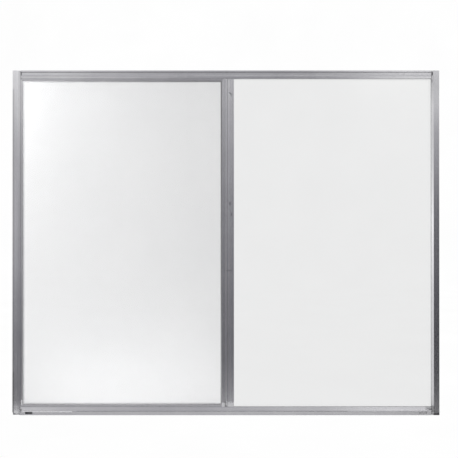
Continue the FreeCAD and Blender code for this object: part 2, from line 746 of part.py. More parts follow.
# Sliding sash: H-shaped rails coped between a pull stile and the interlock stile
def sash_outline(channel, front_height, rear_height):
    """H section: outer channel, web, glazing pocket with a taller front wall."""
    back = "sash_depth"
    return [
        ("0", "0"),
        (front_height, "0"),
        (front_height, "wall"),
        (f"{channel} + wall", "wall"),
        (f"{channel} + wall", f"{back} - wall"),
        (rear_height, f"{back} - wall"),
        (rear_height, back),
        ("0", back),
        ("0", f"{back} - wall"),
        (channel, f"{back} - wall"),
        (channel, "wall"),
        ("0", "wall"),
    ]


SASH_DEPTH_AT = f"{SASH_FRONT} - {FRAME_DEPTH} / 2"
SASH_LEFT = "(sash_left_inset - window_width / 2)"
SASH_RIGHT = "sash_right_of_centre"
SASH_HEIGHT = "(window_height - 2 * sash_edge_inset)"
PULL_WEB = f"({SASH_LEFT} + pull_channel + wall)"
INTERLOCK_LEFT = f"({SASH_RIGHT} - interlock_width)"
INTERLOCK_WEB = f"({INTERLOCK_LEFT} + interlock_pocket)"
RAIL_LENGTH = f"({INTERLOCK_WEB} - {PULL_WEB})"


def notch_for_rib(body, sash_front="0"):
    """Opens both ends of a sash stile round the guide ribs."""
    sketch = new_sketch(body, "rib_notch", "YZ_Plane")
    half = "(rib_width / 2 + 3 * fit_gap)"
    reach = "rib_top - sash_edge_inset + 3 * fit_gap"
    low = f"{sash_front} + sash_depth / 2 - {half}"
    high = f"{sash_front} + sash_depth / 2 + {half}"
    draw_box(sketch, low, "0", high, reach)
    draw_box(sketch, low, f"{SASH_HEIGHT} - ({reach})", high, SASH_HEIGHT)
    pocket(body, sketch, reverse=True)


pull_stile = make_body("sash_pull_stile")
pull_section = new_sketch(pull_stile, "section", "XY_Plane")
draw_loop(pull_section, sash_outline("pull_channel", "pull_front_width", "pull_rear_width"))
pad(pull_stile, pull_section, SASH_HEIGHT)
notch_for_rib(pull_stile)
place(pull_stile, SASH_LEFT, SASH_DEPTH_AT, "sash_edge_inset")

interlock = make_body("sash_interlock_stile")
interlock_section = new_sketch(interlock, "section", "XY_Plane")
# drawn from the glazing pocket at the left, with y measured from the tip of the hook
hook_back = "sash_hook_depth"
draw_loop(
    interlock_section,
    [
        ("0", hook_back),
        ("interlock_width - hook_wall", hook_back),
        ("interlock_width - hook_wall", "hook_wall"),
        ("interlock_width - sash_hook_reach", "hook_wall"),
        ("interlock_width - sash_hook_reach", "0"),
        ("interlock_width", "0"),
        ("interlock_width", f"{hook_back} + wall"),
        ("interlock_pocket + wall", f"{hook_back} + wall"),
        ("interlock_pocket + wall", f"{hook_back} + sash_depth"),
        ("0", f"{hook_back} + sash_depth"),
        ("0", f"{hook_back} + sash_depth - wall"),
        ("interlock_pocket", f"{hook_back} + sash_depth - wall"),
        ("interlock_pocket", f"{hook_back} + wall"),
        ("0", f"{hook_back} + wall"),
    ],
)
pad(interlock, interlock_section, SASH_HEIGHT)
notch_for_rib(interlock, hook_back)
place(interlock, INTERLOCK_LEFT, f"{SASH_DEPTH_AT} - {hook_back}", "sash_edge_inset")


def make_sash_rail(label, pull_end_first):
    """Rail whose side walls stop at the stiles while its web runs into their pockets."""
    body = make_body(label)
    section = new_sketch(body, "section", "XY_Plane")
    draw_loop(section, sash_outline("rail_channel", "rail_front_height", "rail_rear_height"))
    pad(body, section, RAIL_LENGTH)
    pull_front = "pull_front_width - pull_channel - wall + fit_gap"
    pull_rear = "pull_rear_width - pull_channel - wall + fit_gap"
    lock = "interlock_pocket + fit_gap"
    front_cuts = (pull_front, lock) if pull_end_first else (lock, pull_front)
    rear_cuts = (pull_rear, lock) if pull_end_first else (lock, pull_rear)
    cope = new_sketch(body, "copes", "YZ_Plane")
    sides = (
        (front_cuts, "0", "wall + fit_gap"),
        (rear_cuts, "sash_depth - wall - fit_gap", "sash_depth"),
    )
    for cuts, low, high in sides:
        draw_box(cope, low, "0", high, cuts[0])
        draw_box(cope, low, f"{RAIL_LENGTH} - ({cuts[1]})", high, RAIL_LENGTH)
    pocket(body, cope, reverse=True)
    return body


sash_top = make_sash_rail("sash_top_rail", True)
place(sash_top, PULL_WEB, SASH_DEPTH_AT, "window_height - sash_edge_inset", 90)
sash_bottom = make_sash_rail("sash_bottom_rail", False)
place(sash_bottom, INTERLOCK_WEB, SASH_DEPTH_AT, "sash_edge_inset", -90)

rail_web = "(sash_edge_inset + rail_channel + wall)"
sash_web = (PULL_WEB, rail_web, INTERLOCK_WEB, f"(window_height - {rail_web})")
rail_front_bite = "(rail_front_height - rail_channel - wall)"
rail_rear_bite = "(rail_rear_height - rail_channel - wall)"
SASH_POCKET_FRONT = f"({SASH_FRONT} + (sash_depth - glazing_pocket) / 2)"
make_gasket(
    "sash_gasket",
    sash_web,
    inset(
        sash_web,
        "(pull_front_width - pull_channel - wall)",
        rail_front_bite,
        "interlock_pocket",
        rail_front_bite,
    ),
    inset(
        sash_web,
        "(pull_rear_width - pull_channel - wall)",
        rail_rear_bite,
        "interlock_pocket",
        rail_rear_bite,
    ),
    "sash_gasket_base",
    SASH_POCKET_FRONT,
)
make_pane(
    "sash_glass",
    *inset(
        sash_web, "sash_gasket_base", "sash_gasket_base", "sash_gasket_base", "sash_gasket_base"
    ),
    f"{SASH_POCKET_FRONT} + (glazing_pocket - glass_thickness) / 2",
)

# Nylon glides in the bottom rail, straddling the guide rib of the sill
glides = make_body("sash_glides")
glide_section = new_sketch(glides, "section", "YZ_Plane")
glide_top = "sash_edge_inset + rail_channel"
glide_low = "rib_top - glide_groove"
rib_front = "-(rib_width / 2 + fit_gap)"
rib_back = "rib_width / 2 + fit_gap"
side = "(sash_depth / 2 - wall)"
draw_loop(
    glide_section,
    [
        (f"-{side}", glide_low),
        (rib_front, glide_low),
        (rib_front, "rib_top"),
        (rib_back, "rib_top"),
        (rib_back, glide_low),
        (side, glide_low),
        (side, glide_top),
        (f"-{side}", glide_top),
    ],
)
glide_pad = pad(glides, glide_section, "glide_length")
glide_pair = glides.newObject("PartDesign::LinearPattern", "sash_glides_pair")
glide_pair.Originals = [glide_pad]
glide_pair.Direction = (glide_section, ["N_Axis"])
glide_pair.setExpression("Length", bound(f"{RAIL_LENGTH} - 2 * glide_from_end"))
glide_pair.Occurrences = 2
glides.Tip = glide_pair
place(
    glides,
    f"{PULL_WEB} + glide_from_end - glide_length / 2",
    f"{SASH_MIDDLE} - {FRAME_DEPTH} / 2",
    "0",
)

# Pile strips on the sash's front walls, brushing the track legs
pile = make_body("sash_pile")
pile_strips = new_sketch(pile, "strips", "XZ_Plane")
pile_left = f"({SASH_LEFT} + pull_front_width + fit_gap)"
pile_right = f"({INTERLOCK_LEFT} - fit_gap)"
pile_edge = "(sash_edge_inset + pile_from_edge)"
draw_box(pile_strips, pile_left, pile_edge, pile_right, f"{pile_edge} + pile_width")
draw_box(
    pile_strips,
    pile_left,
    f"window_height - {pile_edge} - pile_width",
    pile_right,
    f"window_height - {pile_edge}",
)
draw_box(
    pile_strips,
    f"{SASH_LEFT} + pile_from_edge",
    pile_edge,
    f"{SASH_LEFT} + pile_from_edge + pile_width",
    f"window_height - {pile_edge}",
)
pad(pile, pile_strips, "sash_front_room - fit_gap", reverse=True)
place(pile, "0", f"{TRACK_LEG} + wall + fit_gap - {FRAME_DEPTH} / 2", "0")

# Hook latch, a slide plate with thumb ribs on the room side of the pull stile
latch = make_body("sash_latch")
latch_outline = new_sketch(latch, "plate", "XZ_Plane")
latch_right = "(sash_left_inset + pull_rear_width - 2 * fit_gap)"
tongue_half = "latch_tongue_height / 2"
draw_loop(
    latch_outline,
    [
        (LATCH_LEFT, "-latch_height / 2"),
        (latch_right, "-latch_height / 2"),
        (latch_right, "latch_height / 2"),
        (LATCH_LEFT, "latch_height / 2"),
        (LATCH_LEFT, tongue_half),
        (HOOK_RIGHT, tongue_half),
        (HOOK_RIGHT, f"{tongue_half} + latch_hook_rise"),
        (HOOK_LEFT, f"{tongue_half} + latch_hook_rise"),
        (HOOK_LEFT, f"-{tongue_half}"),
        (LATCH_LEFT, f"-{tongue_half}"),
    ],
)
pad(latch, latch_outline, "latch_plate", reverse=True)
thumb_ribs = new_sketch(latch, "thumb_ribs", "XZ_Plane", "-latch_plate")
for i in range(6):
    rib_low = f"{i - 3} * latch_rib_pitch"
    draw_box(
        thumb_ribs,
        f"{LATCH_LEFT} + 3 * fit_gap",
        rib_low,
        f"{latch_right} - 3 * fit_gap",
        f"{rib_low} + latch_rib_width",
    )
pad(latch, thumb_ribs, "latch_rib", reverse=True)
place(
    latch,
    "-window_width / 2",
    f"{SASH_FRONT} + sash_depth - {FRAME_DEPTH} / 2",
    "window_height / 2",
)

# Every object sound, then one file for each piece
doc.recompute()
for item in doc.Objects:
    if {"Invalid", "Error"} & set(item.State):
        raise ValueError(f"{item.Name} did not build: {item.State}")
pieces = [item for item in doc.Objects if item.TypeId in ("PartDesign::Body", "Part::Box")]
for piece in pieces:
    if piece.Shape.isNull() or not piece.Shape.isValid():
        raise ValueError(f"{piece.Label} has no sound shape")
os.makedirs("parts", exist_ok=True)
for piece in pieces:
    piece.Shape.exportStep(f"parts/{piece.Label}.step")
    box = piece.Shape.BoundBox
    print(
        f"{piece.Label:22s} {len(piece.Shape.Solids)} solids {piece.Shape.Volume / 1000:9.2f} cm3 "
        f"x {box.XMin:8.2f} {box.XMax:8.2f} y {box.YMin:7.2f} {box.YMax:7.2f} "
        f"z {box.ZMin:7.2f} {box.ZMax:7.2f}"
    )
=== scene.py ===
import math
import random

import bpy
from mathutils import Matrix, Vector


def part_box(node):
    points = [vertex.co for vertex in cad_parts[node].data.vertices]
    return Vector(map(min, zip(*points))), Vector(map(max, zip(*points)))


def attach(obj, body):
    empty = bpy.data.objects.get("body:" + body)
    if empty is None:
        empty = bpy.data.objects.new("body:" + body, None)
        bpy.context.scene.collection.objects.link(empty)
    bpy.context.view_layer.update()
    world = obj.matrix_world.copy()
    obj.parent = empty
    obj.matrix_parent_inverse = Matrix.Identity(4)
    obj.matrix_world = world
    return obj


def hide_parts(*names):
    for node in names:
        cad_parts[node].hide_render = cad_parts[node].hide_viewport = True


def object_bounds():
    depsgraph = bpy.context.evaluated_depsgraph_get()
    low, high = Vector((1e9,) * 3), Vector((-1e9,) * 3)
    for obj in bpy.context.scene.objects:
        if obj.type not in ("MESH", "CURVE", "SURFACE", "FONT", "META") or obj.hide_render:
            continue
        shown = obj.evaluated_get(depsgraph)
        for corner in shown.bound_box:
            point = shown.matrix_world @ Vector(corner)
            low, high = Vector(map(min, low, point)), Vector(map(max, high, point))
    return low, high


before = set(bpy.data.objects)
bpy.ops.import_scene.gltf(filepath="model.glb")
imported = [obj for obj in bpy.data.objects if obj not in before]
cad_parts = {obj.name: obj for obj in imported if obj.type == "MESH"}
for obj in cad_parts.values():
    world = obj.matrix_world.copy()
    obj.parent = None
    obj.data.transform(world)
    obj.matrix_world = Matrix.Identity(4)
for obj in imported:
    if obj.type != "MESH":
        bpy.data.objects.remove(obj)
cad_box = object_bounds()
random.seed(7)

# Lengths are in metres, and in materials noise scales are per metre

# Camera: straight on, a little above and right of the window's middle. It is pitched up for
# the photo's slight keystone, and shifted so that the window keeps its place in the picture
CAMERA_DISTANCE = 2.2
CAMERA_X = 0.0087
CAMERA_Z = 0.5209
CAMERA_PITCH = math.radians(0.18)
PIXELS_PER_METRE = 357.15
IMAGE_PIXELS = 458
SENSOR_MM = 36.0

# Studio room: a flat floor that turns up into a dome
ROOM_FLOOR = 5.0
ROOM_HEIGHT = 8.0
ROOM_BULGE = 0.75
ROOM_BASE = -0.0005
ROOM_RINGS = 24
ROOM_SIDES = 48
PAPER_SCALE = 3.0
PAPER_BRIGHTNESS = (0.985, 1.0)

# Sockets of the Mix node that carry colours
MIX_FIRST, MIX_SECOND, MIX_RESULT = 6, 7, 2


def new_material(name):
    material = bpy.data.materials.new(name)
    material.use_nodes = True
    nodes = material.node_tree.nodes
    nodes.clear()
    output = nodes.new("ShaderNodeOutputMaterial")
    shader = nodes.new("ShaderNodeBsdfPrincipled")
    material.node_tree.links.new(shader.outputs["BSDF"], output.inputs["Surface"])
    return material, shader


class Nodes:
    """Short ways to add and join shader nodes in one tree."""

    def __init__(self, tree):
        self.tree = tree

    def link(self, source, target):
        self.tree.links.new(source, target)

    def coordinates(self, scale=(1, 1, 1)):
        coordinate = self.tree.nodes.new("ShaderNodeTexCoord")
        mapping = self.tree.nodes.new("ShaderNodeMapping")
        mapping.inputs["Scale"].default_value = scale
        self.link(coordinate.outputs["Object"], mapping.inputs["Vector"])
        return mapping.outputs["Vector"]

    def noise(self, vector, scale, detail=3.0, roughness=0.5):
        node = self.tree.nodes.new("ShaderNodeTexNoise")
        node.inputs["Scale"].default_value = scale
        node.inputs["Detail"].default_value = detail
        node.inputs["Roughness"].default_value = roughness
        self.link(vector, node.inputs["Vector"])
        return node.outputs["Fac"]

    def ramp(self, value, low, high, start=0.3, end=0.7):
        """Low to high while the value goes from start to end."""
        node = self.tree.nodes.new("ShaderNodeMapRange")
        node.inputs["From Min"].default_value = start
        node.inputs["From Max"].default_value = end
        node.inputs["To Min"].default_value = low
        node.inputs["To Max"].default_value = high
        self.link(value, node.inputs["Value"])
        return node.outputs["Result"]

    def colours(self, value, stops):
        """A colour read from (place, colour) stops."""
        stops = list(stops)
        node = self.tree.nodes.new("ShaderNodeValToRGB")
        elements = node.color_ramp.elements
        while len(elements) < len(stops):
            elements.new(0.5)
        for element, (position, colour) in zip(elements, stops):
            element.position = position
            element.color = (*colour, 1.0)
        self.link(value, node.inputs["Fac"])
        return node.outputs["Color"]

    def math(self, operation, first, second):
        node = self.tree.nodes.new("ShaderNodeMath")
        node.operation = operation
        for socket, value in zip(node.inputs, (first, second)):
            if isinstance(value, (int, float)):
                socket.default_value = value
            else:
                self.link(value, socket)
        return node.outputs["Value"]

    def bump(self, height, distance, normal=None):
        node = self.tree.nodes.new("ShaderNodeBump")
        node.inputs["Distance"].default_value = distance
        self.link(height, node.inputs["Height"])
        if normal:
            self.link(normal, node.inputs["Normal"])
        return node.outputs["Normal"]

    def across(self, along):
        """The direction in the surface that crosses the extrusion's length."""
        surface = self.tree.nodes.new("ShaderNodeNewGeometry")
        node = self.tree.nodes.new("ShaderNodeVectorMath")
        node.operation = "CROSS_PRODUCT"
        node.inputs[1].default_value = [float(axis == along) for axis in "xyz"]
        self.link(surface.outputs["True Normal"], node.inputs[0])
        return node.outputs["Vector"]

    def curve(self, value, low, high, stops):
        """A value read from (place, grey) stops, with the places between low and high."""
        place = self.ramp(value, 0.0, 1.0, low, high)
        top = max(grey for _, grey in stops)
        places = [((at - low) / (high - low), [grey / top] * 3) for at, grey in stops]
        return self.math("MULTIPLY", self.colours(place, places), top)

    def patch(self, box, softness, ragged=0.0):
        """One inside a box of (low, high) places, falling to nothing across its edges."""
        coordinate = self.tree.nodes.new("ShaderNodeTexCoord")
        split = self.tree.nodes.new("ShaderNodeSeparateXYZ")
        self.link(coordinate.outputs["Object"], split.inputs["Vector"])
        outside = -1.0  # further inside than any box reaches
        for axis, (low, high) in box.items():
            offset = self.math("SUBTRACT", split.outputs[axis], (low + high) / 2)
            beyond = self.math("SUBTRACT", self.math("ABSOLUTE", offset, 0.0), (high - low) / 2)
            outside = self.math("MAXIMUM", beyond, outside)
        if ragged:
            grain = self.noise(self.coordinates(), RAGGED_SCALE, roughness=0.6)
            outside = self.math("ADD", outside, self.ramp(grain, -ragged, ragged))
        return self.ramp(outside, 1.0, 0.0, -softness, softness)

    def darkened(self, colour, mask, amount):
        node = self.tree.nodes.new("ShaderNodeVectorMath")
        node.operation = "SCALE"
        self.link(colour, node.inputs[0])
        self.link(self.ramp(mask, 1.0, 1.0 - amount, 0.0, 1.0), node.inputs["Scale"])
        return node.outputs["Vector"]

    def mixed(self, first, second, share):
        node = self.tree.nodes.new("ShaderNodeMix")
        node.data_type = "RGBA"
        self.link(share, node.inputs["Factor"])
        self.link(first, node.inputs[MIX_FIRST])
        node.inputs[MIX_SECOND].default_value = (*second, 1.0)
        return node.outputs[MIX_RESULT]

    def soft_edge(self, radius):
        node = self.tree.nodes.new("ShaderNodeBevel")
        node.inputs["Radius"].default_value = radius
        return node.outputs["Normal"]


# Mill-finish aluminium; noise scales in pairs are those along and across the extrusion
LIGHT_METAL = (0.81, 0.81, 0.825)
DARK_METAL = (0.67, 0.67, 0.69)
DIE_LINES = (1.2, 900.0)
TONE_BANDS = (0.8, 95.0)
CLOUD_SCALE = 9.0
SPECK_SCALE = 260.0
BAND_SHARE = 0.6
TONE_STOPS = (0.36, 0.64)
LINE_ROUGHNESS = (0.16, 0.24)
SPECK_ROUGHNESS = 0.05
ANISOTROPY = 0.88
LINE_DEPTH = 0.00004
SPECK_DEPTH = 0.00002
EDGE_RADIUS = 0.0004

# Bloom, the pale rough film of old aluminium, with ragged edges; the same pale rough colour also
# serves as painted highlight
BLOOM_AND_HIGHLIGHT = (0.37, 0.37, 0.375)
BLOOM_AND_HIGHLIGHT_METALLIC = 0.1
BLOOM_AND_HIGHLIGHT_ROUGHNESS = 0.5
RAGGED_EDGE = 0.003
RAGGED_SCALE = 420.0


def aluminium(name, along, light=LIGHT_METAL, dark=DARK_METAL, grain=1.0, dirt_and_shade=(), bloom_and_highlight=()):
    """Die lines along the extrusion, a cloudy tone and a few scuffs, then pale patches of bloom
    and painted highlight, and dark patches of dirt and painted shade.
    """
    material, shader = new_material(name)
    nodes = Nodes(material.node_tree)

    def stretched(scales):
        return nodes.coordinates([scales[axis != along] for axis in "xyz"])

    lines = nodes.noise(stretched(DIE_LINES), 1.0, detail=4.0, roughness=0.6)
    bands = nodes.noise(stretched(TONE_BANDS), 1.0, roughness=0.55)
    clouds = nodes.noise(nodes.coordinates(), CLOUD_SCALE, detail=5.0, roughness=0.6)
    specks = nodes.noise(nodes.coordinates(), SPECK_SCALE, detail=2.0)
    tone = nodes.math(
        "ADD",
        nodes.math("MULTIPLY", bands, BAND_SHARE),
        nodes.math("MULTIPLY", clouds, 1.0 - BAND_SHARE),
    )
    metal = nodes.colours(tone, zip(TONE_STOPS, (dark, light)))
    roughness = nodes.math(
        "ADD",
        nodes.ramp(lines, *LINE_ROUGHNESS),
        nodes.ramp(specks, 0.0, SPECK_ROUGHNESS, start=0.55, end=0.75),
    )
    shader.inputs["Metallic"].default_value = 1.0
    shader.inputs["Anisotropic"].default_value = ANISOTROPY
    # Pale patches from the bloom lists and the painted highlight lists
    if bloom_and_highlight:
        cover = 0.0
        for box, softness, amount in bloom_and_highlight:
            patch = nodes.patch(box, softness, min(RAGGED_EDGE, softness))
            cover = nodes.math("MAXIMUM", nodes.math("MULTIPLY", patch, amount), cover)
        metal = nodes.mixed(metal, BLOOM_AND_HIGHLIGHT, cover)
        nodes.link(nodes.ramp(cover, 1.0, BLOOM_AND_HIGHLIGHT_METALLIC, 0.0, 1.0), shader.inputs["Metallic"])
        roughness = nodes.math("ADD", roughness, nodes.math("MULTIPLY", cover, BLOOM_AND_HIGHLIGHT_ROUGHNESS))
    # Dark patches from the dirt lists and the painted shade lists
    for box, softness, amount in dirt_and_shade:
        metal = nodes.darkened(metal, nodes.patch(box, softness), amount)
    nodes.link(metal, shader.inputs["Base Color"])
    nodes.link(roughness, shader.inputs["Roughness"])
    nodes.link(nodes.across(along), shader.inputs["Tangent"])
    relief = nodes.bump(lines, LINE_DEPTH * grain, nodes.soft_edge(EDGE_RADIUS))
    nodes.link(nodes.bump(specks, SPECK_DEPTH, relief), shader.inputs["Normal"])
    return material


# Glass
HAZE_SCALE = 5.0
HAZE_ROUGHNESS = 0.03
WAVE_SCALE = 3.0
WAVE_STRETCH = (1, 1, 0.4)
WAVE_DEPTH = 0.0004
GLASS_IOR = 1.4


def glass(name, tint):
    """Clear float glass with a faint haze and a slight wave."""
    material, shader = new_material(name)
    nodes = Nodes(material.node_tree)
    haze = nodes.noise(nodes.coordinates(), HAZE_SCALE, detail=4.0)
    wave = nodes.noise(nodes.coordinates(WAVE_STRETCH), WAVE_SCALE, detail=1.0)
    shader.inputs["Base Color"].default_value = (*tint, 1.0)
    shader.inputs["Transmission Weight"].default_value = 1.0
    shader.inputs["IOR"].default_value = GLASS_IOR
    nodes.link(nodes.ramp(haze, 0.0, HAZE_ROUGHNESS), shader.inputs["Roughness"])
    nodes.link(nodes.bump(wave, WAVE_DEPTH), shader.inputs["Normal"])
    return material


# Plain materials with one grain
VINYL_ROUGHNESS = (0.45, 0.65)
SEAM_BEAD_SHINE = 0.1


def grained(name, dark, light, roughness, scale, detail, start=0.3, end=0.7, depth=0.0,
            metallic=0.0, shine=0.5):
    """One grain that sets the tone (dark at start, light at end), roughness and relief."""
    material, shader = new_material(name)
    nodes = Nodes(material.node_tree)
    grain = nodes.noise(nodes.coordinates(), scale, detail)
    shader.inputs["Metallic"].default_value = metallic
    shader.inputs["Specular IOR Level"].default_value = shine
    nodes.link(nodes.colours(grain, [(start, dark), (end, light)]), shader.inputs["Base Color"])
    nodes.link(nodes.ramp(grain, *roughness), shader.inputs["Roughness"])
    if depth:
        nodes.link(nodes.bump(grain, depth), shader.inputs["Normal"])
    return material


def vinyl(name, dark, light, shine=0.5):
    return grained(name, dark, light, VINYL_ROUGHNESS, scale=300.0, detail=4.0, start=0.35,
                   depth=0.00005, shine=shine)


# Marks as (box, softness, amount); a box limits only the axes that it names
# Painted shade on the head: in its groove, in the seam at its left end and under its edge beside
# that seam
HEAD_PAINTED_SHADE = [
    ({"Z": (0.9588, 0.9601)}, 0.00015, 0.65),
    ({"X": (-0.5748, -0.5717), "Z": (0.9510, 0.9612)}, 0.0004, 0.70),
    ({"X": (-0.5748, -0.5717), "Z": (0.9435, 0.9452)}, 0.0006, 0.45),
]
# Painted shade on the sill: in its groove, in the corners where it meets the jambs, and inside the
# left weep slot
SILL_PAINTED_SHADE = [
    ({"X": (-0.42, 0.34), "Z": (0.0106, 0.0119)}, 0.00015, 0.45),
    ({"X": (0.5600, 0.5790), "Z": (0.0145, 0.0220)}, 0.0035, 0.45),
    ({"X": (0.5680, 0.5790), "Z": (0.0140, 0.0174)}, 0.0012, 0.60),
    ({"X": (-0.5770, -0.5715), "Z": (0.0117, 0.0172)}, 0.0008, 0.50),
    ({"X": (-0.5625, -0.5405), "Y": (-0.0232, -0.0100), "Z": (0.002, 0.0105)}, 0.0005, 0.55),
]
# Painted highlight along the sill's lower front at its left end
SILL_PAINTED_HIGHLIGHT = [
    ({"X": (-0.5700, -0.4300), "Y": (-0.0270, -0.0200), "Z": (0.0090, 0.0108)}, 0.0005, 0.35),
]
STILE_DIRT_AND_SHADE = [
    # Painted shade in the stile's groove
    ({"X": (0.0036, 0.0049)}, 0.00015, 0.40),
    # Painted shade in the gap beside the screen's stile at the foot
    ({"X": (-0.0016, 0.0006), "Z": (0.0120, 0.0370)}, 0.0008, 0.55),
    # Dark spots and marks on the stile's face
    ({"X": (-0.0016, 0.0032), "Z": (0.0215, 0.0270)}, 0.0010, 0.45),
    ({"X": (0.0093, 0.0121), "Z": (0.9020, 0.9057)}, 0.0006, 0.35),
    ({"X": (0.0143, 0.0171), "Z": (0.8955, 0.8992)}, 0.0006, 0.30),
    ({"X": (0.0085, 0.0143), "Z": (0.5880, 0.5968)}, 0.0012, 0.27),
    ({"X": (0.0140, 0.0168), "Z": (0.5575, 0.5660)}, 0.0010, 0.36),
    ({"X": (0.0000, 0.0171), "Z": (0.4032, 0.4058)}, 0.0007, 0.24),
]
STILE_BLOOM = [({"X": (-0.006, 0.028), "Z": (0.005, 0.0315)}, 0.0080, 0.38)]
SCREEN_BLOOM = [
    ({"X": (-0.0105, -0.001), "Z": (0.010, 0.0325)}, 0.0045, 0.45),
    ({"X": (-0.5735, -0.560), "Z": (0.029, 0.040)}, 0.0030, 0.35),
]
SCREEN_DIRT_AND_SHADE = [
    # Painted shade in the gap beside the meeting stile at the foot
    ({"X": (-0.0034, -0.0010), "Z": (0.0120, 0.0370)}, 0.0008, 0.40),
    # Dark marks on the screen's stile
    ({"X": (-0.0030, 0.0040), "Z": (0.5580, 0.5660)}, 0.0012, 0.14),
    ({"X": (-0.0040, 0.0040), "Z": (0.4032, 0.4058)}, 0.0007, 0.24),
]
LEFT_DIRT_AND_DARKENING = [
    ({"X": (-0.5985, -0.5930), "Y": (-0.0270, -0.0245), "Z": (-0.01, 0.9130)}, 0.0007, 0.22),
    ({"X": (-0.5985, -0.5935), "Y": (-0.0270, -0.0245), "Z": (-0.01, 0.1200)}, 0.0010, 0.25),
    # Darker towards the bottom
    ({"Z": (-0.05, 0.1100)}, 0.0300, 0.15),
]
LEFT_PAINTED_HIGHLIGHT = [
    # Painted highlight on the jamb's clipped foot
    ({"X": (-0.5930, -0.5765), "Z": (0.0045, 0.0130)}, 0.004, 0.48),
    ({"X": (-0.5930, -0.5765), "Z": (-0.01, 0.0250)}, 0.012, 0.16),
]
RIGHT_SHADE_AND_DARKENING = [
    # Darker towards the top and towards the bottom
    ({"Z": (0.9000, 1.0000)}, 0.0300, 0.20),
    ({"Z": (-0.05, 0.040)}, 0.020, 0.15),
    ({"Z": (-0.05, 0.010)}, 0.006, 0.25),
    # Painted shade on the lower end of the bevel strip
    ({"X": (0.5735, 0.5833), "Z": (0.0085, 0.0265)}, 0.0015, 0.50),
    # Near-black at the foot
    ({"X": (0.5807, 0.6000), "Z": (-0.01, 0.0060)}, 0.0008, 0.60),
    # Painted shade in the seam at the head and under the head's edge
    ({"X": (0.5774, 0.5799), "Z": (0.9515, 0.9612)}, 0.0003, 0.90),
    ({"X": (0.5765, 0.5790), "Z": (0.9320, 0.9400)}, 0.0010, 0.45),
]

frame_x = aluminium("frame_metal_across", "x")
frame_z = aluminium("frame_metal_upright", "z")
left_metal = aluminium("left_jamb_metal", "z", dirt_and_shade=LEFT_DIRT_AND_DARKENING, bloom_and_highlight=LEFT_PAINTED_HIGHLIGHT)
right_metal = aluminium("right_jamb_metal", "z", dirt_and_shade=RIGHT_SHADE_AND_DARKENING)
head_metal = aluminium("head_metal", "x", dirt_and_shade=HEAD_PAINTED_SHADE)
sill_metal = aluminium("sill_metal", "x", grain=0.4, dirt_and_shade=SILL_PAINTED_SHADE, bloom_and_highlight=SILL_PAINTED_HIGHLIGHT)
stile_metal = aluminium("stile_metal", "z", dirt_and_shade=STILE_DIRT_AND_SHADE, bloom_and_highlight=STILE_BLOOM)
SCREEN_LOOK = {
    "light": (0.77, 0.77, 0.785),
    "dark": (0.63, 0.63, 0.645),
    "grain": 0.5,
    "dirt_and_shade": SCREEN_DIRT_AND_SHADE,
    "bloom_and_highlight": SCREEN_BLOOM,
}
screen_x = aluminium("screen_metal_across", "x", **SCREEN_LOOK)
screen_z = aluminium("screen_metal_upright", "z", **SCREEN_LOOK)
pane_glass = glass("pane_glass", (0.852, 0.854, 0.854))
gasket_vinyl = vinyl("gasket_vinyl", (0.20, 0.205, 0.21), (0.27, 0.28, 0.29))
spline_vinyl = vinyl("spline_vinyl", (0.15, 0.15, 0.155), (0.19, 0.19, 0.195))
# Seam beads: dark and grey as painted shade in the gaps, pale as painted light where the lamps
# fall short
seam_shade_dark = vinyl("painted_seam_shade_dark", (0.02, 0.02, 0.02), (0.035, 0.035, 0.035), SEAM_BEAD_SHINE)
seam_shade_grey = vinyl("painted_seam_shade_grey", (0.18, 0.18, 0.185), (0.22, 0.22, 0.225), SEAM_BEAD_SHINE)
seam_light_pale = vinyl("painted_seam_light_pale", (0.68, 0.68, 0.685), (0.80, 0.80, 0.805), SEAM_BEAD_SHINE)
wires = grained(
    "wire_metal", (0.645, 0.65, 0.66), (0.705, 0.705, 0.71), (0.35, 0.5),
    scale=3.0, detail=4.0, start=0.35, metallic=0.25,
)
steel = grained(
    "plated_steel", (0.42, 0.41, 0.40), (0.62, 0.61, 0.60), (0.3, 0.5),
    scale=900.0, detail=3.0, depth=0.00005, metallic=1.0,
)
glide_nylon = grained(
    "glide_nylon", (0.72, 0.72, 0.68), (0.85, 0.85, 0.81), (0.35, 0.5),
    scale=400.0, detail=3.0, depth=0.00005,
)
pile_fibre = grained(
    "pile_fibre", (0.09, 0.09, 0.10), (0.26, 0.26, 0.27), (0.85, 1.0),
    scale=1500.0, detail=2.0, start=0.35, depth=0.0004,
)
silt = grained(
    "dried_silt", (0.50, 0.50, 0.50), (0.62, 0.62, 0.625), (0.75, 0.95),
    scale=700.0, detail=4.0, depth=0.0001,
)

NODE_MATERIALS = {
    "left_jamb": left_metal,
    "right_jamb": right_metal,
    "head": head_metal,
    "sill": sill_metal,
    "meeting_stile": stile_metal,
    "left_corner_screws": steel,
    "right_corner_screws": steel,
    "fixed_gasket": gasket_vinyl,
    "fixed_glass": pane_glass,
    "screen_left_stile": screen_z,
    "screen_right_stile": screen_z,
    "screen_top_rail": screen_x,
    "screen_bottom_rail": screen_x,
    "screen_spline": spline_vinyl,
    "insect_mesh": wires,
    "sash_pull_stile": frame_z,
    "sash_interlock_stile": frame_z,
    "sash_top_rail": frame_x,
    "sash_bottom_rail": frame_x,
    "sash_gasket": gasket_vinyl,
    "sash_glass": pane_glass,
    "sash_glides": glide_nylon,
    "sash_latch": glide_nylon,
    "sash_pile": pile_fibre,
    "screen_springs": steel,
}
for node_name, node_material in NODE_MATERIALS.items():
    node_object = bpy.data.objects[node_name]
    node_object.data.materials.clear()
    node_object.data.materials.append(node_material)


def mesh_object(name, vertices, faces, material, smooth=False):
    data = bpy.data.meshes.new(name)
    data.from_pydata(vertices, [], faces)
    data.update()
    for face in data.polygons:
        face.use_smooth = smooth
    piece = bpy.data.objects.new(name, data)
    bpy.context.scene.collection.objects.link(piece)
    data.materials.append(material)
    return piece


